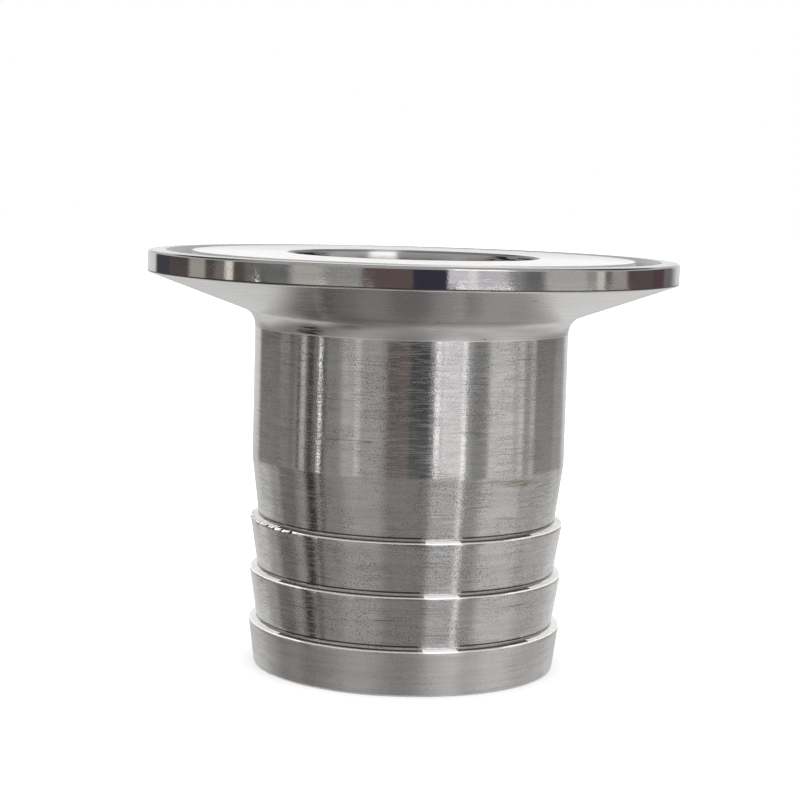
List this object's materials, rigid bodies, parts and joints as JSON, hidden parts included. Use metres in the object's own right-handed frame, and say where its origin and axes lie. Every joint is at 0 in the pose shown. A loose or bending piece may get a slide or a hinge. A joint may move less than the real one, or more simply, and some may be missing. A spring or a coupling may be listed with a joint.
{
  "type": "hose connector",
  "caption": "Turned stainless hose connector: a clamp flange with a ring gasket groove over a plain neck and a barbed hose tail, on one straight bore.",
  "frame": {"origin": "centre of the ring at the end of the barbed tail, on which the connector stands", "axes": "+Z along the bore's axis, from the barbed tail to the flange's sealing face; the part is round, so +X and +Y are free"},
  "size_m": [0.064, 0.064, 0.05],
  "materials": {
    "turned_steel": "turned stainless steel: polished flange rim and face, satin back, fine turning lines round the neck and barbs"
  },
  "bodies": {
    "root": {"hose_connector": "turned_steel"}
  },
  "joints": []
}
